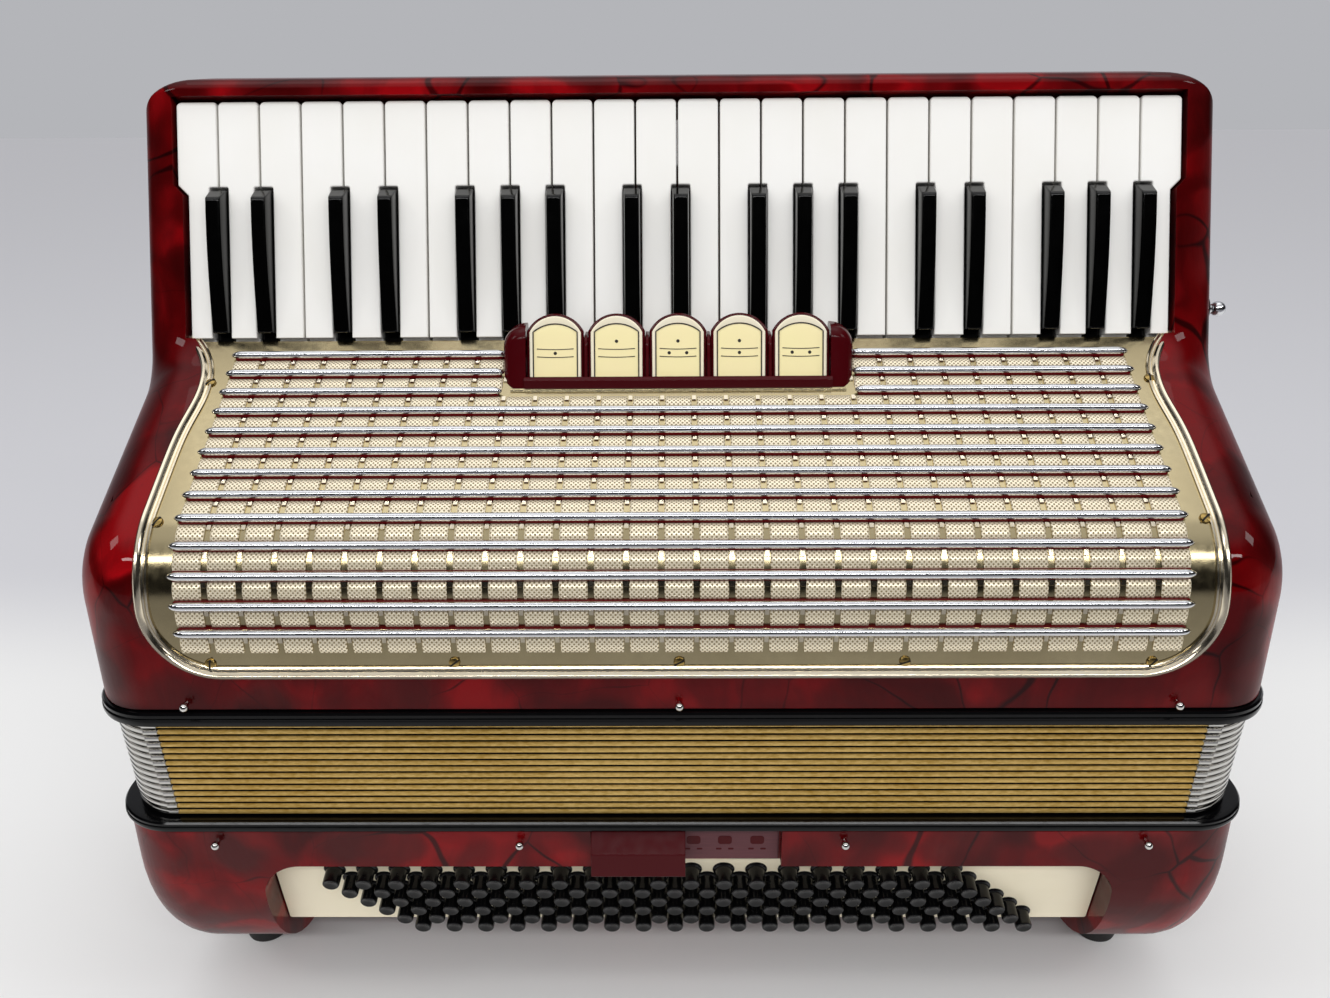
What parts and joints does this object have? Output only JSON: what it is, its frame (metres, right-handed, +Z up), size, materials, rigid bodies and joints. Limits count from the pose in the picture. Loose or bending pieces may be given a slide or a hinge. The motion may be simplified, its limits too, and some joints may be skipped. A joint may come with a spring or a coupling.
{
  "type": "piano accordion",
  "caption": "Piano accordion in red pearl celluloid, standing on its bass feet: keys, register switches, bass buttons and bellows move.",
  "frame": {"origin": "on the floor plane under the middle of the whole instrument, which stands on the feet of its bass end", "axes": "+X along the keyboard towards its low end, on the right as seen from the front; +Y from the grille's front to the back that lies on the player; +Z up from the bass feet to the keyboard's rail"},
  "size_m": [0.49, 0.199, 0.407],
  "materials": {
    "celluloid": "polished red pearl celluloid over a wooden casing",
    "gold_grille": "pale gold, polished",
    "steel": "drawn",
    "black_lacquer": "black lacquer",
    "white_key": "polished",
    "black_key": "polished",
    "switch_gold": "metallised gold mirror",
    "bellows_card": "folded card with gold bellows tape",
    "cream_plate": "satin",
    "black_plastic": "polished",
    "maroon_plastic": "polished",
    "strap_leather": "black grain leather"
  },
  "bodies": {
    "bass": {"bass_casing": "celluloid", "bass_bellows_frame": "black_lacquer", "bellows": "bellows_card", "button_board": "cream_plate", "hand_strap": "strap_leather"},
    "treble": {"treble_casing": "celluloid", "treble_grille": "gold_grille", "treble_bellows_frame": "black_lacquer", "key_axle": "steel"},
    "register_switch_1": {"register_switch_1": "switch_gold"},
    "register_switch_2": {"register_switch_2": "switch_gold"},
    "register_switch_3": {"register_switch_3": "switch_gold"},
    "register_switch_4": {"register_switch_4": "switch_gold"},
    "register_switch_5": {"register_switch_5": "switch_gold"},
    "bass_register_slide": {"bass_register_slide": "maroon_plastic"},
    "air_button": {"air_button": "black_plastic"},
    "bass_buttons_1": {"bass_buttons_1": "black_plastic"},
    "bass_buttons_2": {"bass_buttons_2": "black_plastic"},
    "bass_buttons_3": {"bass_buttons_3": "black_plastic"},
    "white_key_01": {"white_key_01": "white_key"},
    "white_key_02": {"white_key_02": "white_key"},
    "white_key_03": {"white_key_03": "white_key"},
    "white_key_04": {"white_key_04": "white_key"},
    "white_key_05": {"white_key_05": "white_key"},
    "white_key_06": {"white_key_06": "white_key"},
    "white_key_07": {"white_key_07": "white_key"},
    "white_key_08": {"white_key_08": "white_key"},
    "white_key_09": {"white_key_09": "white_key"},
    "white_key_10": {"white_key_10": "white_key"},
    "white_key_11": {"white_key_11": "white_key"},
    "white_key_12": {"white_key_12": "white_key"},
    "white_key_13": {"white_key_13": "white_key"},
    "white_key_14": {"white_key_14": "white_key"},
    "white_key_15": {"white_key_15": "white_key"},
    "white_key_16": {"white_key_16": "white_key"},
    "white_key_17": {"white_key_17": "white_key"},
    "white_key_18": {"white_key_18": "white_key"},
    "white_key_19": {"white_key_19": "white_key"},
    "white_key_20": {"white_key_20": "white_key"},
    "white_key_21": {"white_key_21": "white_key"},
    "white_key_22": {"white_key_22": "white_key"},
    "white_key_23": {"white_key_23": "white_key"},
    "white_key_24": {"white_key_24": "white_key"},
    "black_key_01": {"black_key_01": "black_key"},
    "black_key_02": {"black_key_02": "black_key"},
    "black_key_03": {"black_key_03": "black_key"},
    "black_key_04": {"black_key_04": "black_key"},
    "black_key_05": {"black_key_05": "black_key"},
    "black_key_06": {"black_key_06": "black_key"},
    "black_key_07": {"black_key_07": "black_key"},
    "black_key_08": {"black_key_08": "black_key"},
    "black_key_09": {"black_key_09": "black_key"},
    "black_key_10": {"black_key_10": "black_key"},
    "black_key_11": {"black_key_11": "black_key"},
    "black_key_12": {"black_key_12": "black_key"},
    "black_key_13": {"black_key_13": "black_key"},
    "black_key_14": {"black_key_14": "black_key"},
    "black_key_15": {"black_key_15": "black_key"},
    "black_key_16": {"black_key_16": "black_key"},
    "black_key_17": {"black_key_17": "black_key"}
  },
  "joints": [
    {"name": "bellows_opening", "type": "slide", "parent": "bass", "child": "treble", "axis": [0, 0, 1], "range_m": [0, 0.32], "deforming": ["bellows"]},
    {"name": "register_switch_1_rock", "type": "hinge", "parent": "treble", "child": "register_switch_1", "pos_m": [-0.0534, -0.00674, 0.28812], "axis": [-1, 0, 0], "range_deg": [0, 6]},
    {"name": "register_switch_2_rock", "type": "hinge", "parent": "treble", "child": "register_switch_2", "pos_m": [-0.0267, -0.00674, 0.28812], "axis": [-1, 0, 0], "range_deg": [0, 6]},
    {"name": "register_switch_3_rock", "type": "hinge", "parent": "treble", "child": "register_switch_3", "pos_m": [0, -0.00674, 0.28812], "axis": [-1, 0, 0], "range_deg": [0, 6]},
    {"name": "register_switch_4_rock", "type": "hinge", "parent": "treble", "child": "register_switch_4", "pos_m": [0.0267, -0.00674, 0.28812], "axis": [-1, 0, 0], "range_deg": [0, 6]},
    {"name": "register_switch_5_rock", "type": "hinge", "parent": "treble", "child": "register_switch_5", "pos_m": [0.0534, -0.00674, 0.28812], "axis": [-1, 0, 0], "range_deg": [0, 6]},
    {"name": "bass_register_travel", "type": "slide", "parent": "bass", "child": "bass_register_slide", "axis": [1, 0, 0], "range_m": [0, 0.04]},
    {"name": "air_button_press", "type": "slide", "parent": "bass", "child": "air_button", "axis": [0, 0, 1], "range_m": [0, 0.005], "stiffness_N_per_m": 400, "springref_m": -0.003},
    {"name": "bass_buttons_1_press", "type": "slide", "parent": "bass", "child": "bass_buttons_1", "axis": [0, 0.9622, 0.2723], "range_m": [0, 0.0035], "stiffness_N_per_m": 600, "springref_m": -0.003},
    {"name": "bass_buttons_2_press", "type": "slide", "parent": "bass", "child": "bass_buttons_2", "axis": [0, 0.9622, 0.2723], "range_m": [0, 0.0035], "stiffness_N_per_m": 600, "springref_m": -0.003},
    {"name": "bass_buttons_3_press", "type": "slide", "parent": "bass", "child": "bass_buttons_3", "axis": [0, 0.9622, 0.2723], "range_m": [0, 0.0035], "stiffness_N_per_m": 600, "springref_m": -0.003},
    {"name": "white_key_01_press", "type": "hinge", "parent": "treble", "child": "white_key_01", "pos_m": [-0.2162, 0.01954, 0.28445], "axis": [-1, 0, 0], "range_deg": [0, 2.4], "stiffness_Nm_per_rad": 0.9, "springref_deg": -3.84},
    {"name": "white_key_02_press", "type": "hinge", "parent": "treble", "child": "white_key_02", "pos_m": [-0.1974, 0.01954, 0.28445], "axis": [-1, 0, 0], "range_deg": [0, 2.4], "stiffness_Nm_per_rad": 0.9, "springref_deg": -3.84},
    {"name": "white_key_03_press", "type": "hinge", "parent": "treble", "child": "white_key_03", "pos_m": [-0.1786, 0.01954, 0.28445], "axis": [-1, 0, 0], "range_deg": [0, 2.4], "stiffness_Nm_per_rad": 0.9, "springref_deg": -3.84},
    {"name": "white_key_04_press", "type": "hinge", "parent": "treble", "child": "white_key_04", "pos_m": [-0.1598, 0.01954, 0.28445], "axis": [-1, 0, 0], "range_deg": [0, 2.4], "stiffness_Nm_per_rad": 0.9, "springref_deg": -3.84},
    {"name": "white_key_05_press", "type": "hinge", "parent": "treble", "child": "white_key_05", "pos_m": [-0.141, 0.01954, 0.28445], "axis": [-1, 0, 0], "range_deg": [0, 2.4], "stiffness_Nm_per_rad": 0.9, "springref_deg": -3.84},
    {"name": "white_key_06_press", "type": "hinge", "parent": "treble", "child": "white_key_06", "pos_m": [-0.1222, 0.01954, 0.28445], "axis": [-1, 0, 0], "range_deg": [0, 2.4], "stiffness_Nm_per_rad": 0.9, "springref_deg": -3.84},
    {"name": "white_key_07_press", "type": "hinge", "parent": "treble", "child": "white_key_07", "pos_m": [-0.1034, 0.01954, 0.28445], "axis": [-1, 0, 0], "range_deg": [0, 2.4], "stiffness_Nm_per_rad": 0.9, "springref_deg": -3.84},
    {"name": "white_key_08_press", "type": "hinge", "parent": "treble", "child": "white_key_08", "pos_m": [-0.0846, 0.01954, 0.28445], "axis": [-1, 0, 0], "range_deg": [0, 2.4], "stiffness_Nm_per_rad": 0.9, "springref_deg": -3.84},
    {"name": "white_key_09_press", "type": "hinge", "parent": "treble", "child": "white_key_09", "pos_m": [-0.0658, 0.01954, 0.28445], "axis": [-1, 0, 0], "range_deg": [0, 2.4], "stiffness_Nm_per_rad": 0.9, "springref_deg": -3.84},
    {"name": "white_key_10_press", "type": "hinge", "parent": "treble", "child": "white_key_10", "pos_m": [-0.047, 0.01954, 0.28445], "axis": [-1, 0, 0], "range_deg": [0, 2.4], "stiffness_Nm_per_rad": 0.9, "springref_deg": -3.84},
    {"name": "white_key_11_press", "type": "hinge", "parent": "treble", "child": "white_key_11", "pos_m": [-0.0282, 0.01954, 0.28445], "axis": [-1, 0, 0], "range_deg": [0, 2.4], "stiffness_Nm_per_rad": 0.9, "springref_deg": -3.84},
    {"name": "white_key_12_press", "type": "hinge", "parent": "treble", "child": "white_key_12", "pos_m": [-0.0094, 0.01954, 0.28445], "axis": [-1, 0, 0], "range_deg": [0, 2.4], "stiffness_Nm_per_rad": 0.9, "springref_deg": -3.84},
    {"name": "white_key_13_press", "type": "hinge", "parent": "treble", "child": "white_key_13", "pos_m": [0.0094, 0.01954, 0.28445], "axis": [-1, 0, 0], "range_deg": [0, 2.4], "stiffness_Nm_per_rad": 0.9, "springref_deg": -3.84},
    {"name": "white_key_14_press", "type": "hinge", "parent": "treble", "child": "white_key_14", "pos_m": [0.0282, 0.01954, 0.28445], "axis": [-1, 0, 0], "range_deg": [0, 2.4], "stiffness_Nm_per_rad": 0.9, "springref_deg": -3.84},
    {"name": "white_key_15_press", "type": "hinge", "parent": "treble", "child": "white_key_15", "pos_m": [0.047, 0.01954, 0.28445], "axis": [-1, 0, 0], "range_deg": [0, 2.4], "stiffness_Nm_per_rad": 0.9, "springref_deg": -3.84},
    {"name": "white_key_16_press", "type": "hinge", "parent": "treble", "child": "white_key_16", "pos_m": [0.0658, 0.01954, 0.28445], "axis": [-1, 0, 0], "range_deg": [0, 2.4], "stiffness_Nm_per_rad": 0.9, "springref_deg": -3.84},
    {"name": "white_key_17_press", "type": "hinge", "parent": "treble", "child": "white_key_17", "pos_m": [0.0846, 0.01954, 0.28445], "axis": [-1, 0, 0], "range_deg": [0, 2.4], "stiffness_Nm_per_rad": 0.9, "springref_deg": -3.84},
    {"name": "white_key_18_press", "type": "hinge", "parent": "treble", "child": "white_key_18", "pos_m": [0.1034, 0.01954, 0.28445], "axis": [-1, 0, 0], "range_deg": [0, 2.4], "stiffness_Nm_per_rad": 0.9, "springref_deg": -3.84},
    {"name": "white_key_19_press", "type": "hinge", "parent": "treble", "child": "white_key_19", "pos_m": [0.1222, 0.01954, 0.28445], "axis": [-1, 0, 0], "range_deg": [0, 2.4], "stiffness_Nm_per_rad": 0.9, "springref_deg": -3.84},
    {"name": "white_key_20_press", "type": "hinge", "parent": "treble", "child": "white_key_20", "pos_m": [0.141, 0.01954, 0.28445], "axis": [-1, 0, 0], "range_deg": [0, 2.4], "stiffness_Nm_per_rad": 0.9, "springref_deg": -3.84},
    {"name": "white_key_21_press", "type": "hinge", "parent": "treble", "child": "white_key_21", "pos_m": [0.1598, 0.01954, 0.28445], "axis": [-1, 0, 0], "range_deg": [0, 2.4], "stiffness_Nm_per_rad": 0.9, "springref_deg": -3.84},
    {"name": "white_key_22_press", "type": "hinge", "parent": "treble", "child": "white_key_22", "pos_m": [0.1786, 0.01954, 0.28445], "axis": [-1, 0, 0], "range_deg": [0, 2.4], "stiffness_Nm_per_rad": 0.9, "springref_deg": -3.84},
    {"name": "white_key_23_press", "type": "hinge", "parent": "treble", "child": "white_key_23", "pos_m": [0.1974, 0.01954, 0.28445], "axis": [-1, 0, 0], "range_deg": [0, 2.4], "stiffness_Nm_per_rad": 0.9, "springref_deg": -3.84},
    {"name": "white_key_24_press", "type": "hinge", "parent": "treble", "child": "white_key_24", "pos_m": [0.2162, 0.01954, 0.28445], "axis": [-1, 0, 0], "range_deg": [0, 2.4], "stiffness_Nm_per_rad": 0.9, "springref_deg": -3.84},
    {"name": "black_key_01_press", "type": "hinge", "parent": "treble", "child": "black_key_01", "pos_m": [-0.2068, 0.01954, 0.28445], "axis": [-1, 0, 0], "range_deg": [0, 2.4], "stiffness_Nm_per_rad": 0.9, "springref_deg": -3.84},
    {"name": "black_key_02_press", "type": "hinge", "parent": "treble", "child": "black_key_02", "pos_m": [-0.1865, 0.01954, 0.28445], "axis": [-1, 0, 0], "range_deg": [0, 2.4], "stiffness_Nm_per_rad": 0.9, "springref_deg": -3.84},
    {"name": "black_key_03_press", "type": "hinge", "parent": "treble", "child": "black_key_03", "pos_m": [-0.1519, 0.01954, 0.28445], "axis": [-1, 0, 0], "range_deg": [0, 2.4], "stiffness_Nm_per_rad": 0.9, "springref_deg": -3.84},
    {"name": "black_key_04_press", "type": "hinge", "parent": "treble", "child": "black_key_04", "pos_m": [-0.1301, 0.01954, 0.28445], "axis": [-1, 0, 0], "range_deg": [0, 2.4], "stiffness_Nm_per_rad": 0.9, "springref_deg": -3.84},
    {"name": "black_key_05_press", "type": "hinge", "parent": "treble", "child": "black_key_05", "pos_m": [-0.0955, 0.01954, 0.28445], "axis": [-1, 0, 0], "range_deg": [0, 2.4], "stiffness_Nm_per_rad": 0.9, "springref_deg": -3.84},
    {"name": "black_key_06_press", "type": "hinge", "parent": "treble", "child": "black_key_06", "pos_m": [-0.0752, 0.01954, 0.28445], "axis": [-1, 0, 0], "range_deg": [0, 2.4], "stiffness_Nm_per_rad": 0.9, "springref_deg": -3.84},
    {"name": "black_key_07_press", "type": "hinge", "parent": "treble", "child": "black_key_07", "pos_m": [-0.0549, 0.01954, 0.28445], "axis": [-1, 0, 0], "range_deg": [0, 2.4], "stiffness_Nm_per_rad": 0.9, "springref_deg": -3.84},
    {"name": "black_key_08_press", "type": "hinge", "parent": "treble", "child": "black_key_08", "pos_m": [-0.0203, 0.01954, 0.28445], "axis": [-1, 0, 0], "range_deg": [0, 2.4], "stiffness_Nm_per_rad": 0.9, "springref_deg": -3.84},
    {"name": "black_key_09_press", "type": "hinge", "parent": "treble", "child": "black_key_09", "pos_m": [0.0015, 0.01954, 0.28445], "axis": [-1, 0, 0], "range_deg": [0, 2.4], "stiffness_Nm_per_rad": 0.9, "springref_deg": -3.84},
    {"name": "black_key_10_press", "type": "hinge", "parent": "treble", "child": "black_key_10", "pos_m": [0.0361, 0.01954, 0.28445], "axis": [-1, 0, 0], "range_deg": [0, 2.4], "stiffness_Nm_per_rad": 0.9, "springref_deg": -3.84},
    {"name": "black_key_11_press", "type": "hinge", "parent": "treble", "child": "black_key_11", "pos_m": [0.0564, 0.01954, 0.28445], "axis": [-1, 0, 0], "range_deg": [0, 2.4], "stiffness_Nm_per_rad": 0.9, "springref_deg": -3.84},
    {"name": "black_key_12_press", "type": "hinge", "parent": "treble", "child": "black_key_12", "pos_m": [0.0767, 0.01954, 0.28445], "axis": [-1, 0, 0], "range_deg": [0, 2.4], "stiffness_Nm_per_rad": 0.9, "springref_deg": -3.84},
    {"name": "black_key_13_press", "type": "hinge", "parent": "treble", "child": "black_key_13", "pos_m": [0.1113, 0.01954, 0.28445], "axis": [-1, 0, 0], "range_deg": [0, 2.4], "stiffness_Nm_per_rad": 0.9, "springref_deg": -3.84},
    {"name": "black_key_14_press", "type": "hinge", "parent": "treble", "child": "black_key_14", "pos_m": [0.1331, 0.01954, 0.28445], "axis": [-1, 0, 0], "range_deg": [0, 2.4], "stiffness_Nm_per_rad": 0.9, "springref_deg": -3.84},
    {"name": "black_key_15_press", "type": "hinge", "parent": "treble", "child": "black_key_15", "pos_m": [0.1677, 0.01954, 0.28445], "axis": [-1, 0, 0], "range_deg": [0, 2.4], "stiffness_Nm_per_rad": 0.9, "springref_deg": -3.84},
    {"name": "black_key_16_press", "type": "hinge", "parent": "treble", "child": "black_key_16", "pos_m": [0.188, 0.01954, 0.28445], "axis": [-1, 0, 0], "range_deg": [0, 2.4], "stiffness_Nm_per_rad": 0.9, "springref_deg": -3.84},
    {"name": "black_key_17_press", "type": "hinge", "parent": "treble", "child": "black_key_17", "pos_m": [0.2083, 0.01954, 0.28445], "axis": [-1, 0, 0], "range_deg": [0, 2.4], "stiffness_Nm_per_rad": 0.9, "springref_deg": -3.84}
  ]
}
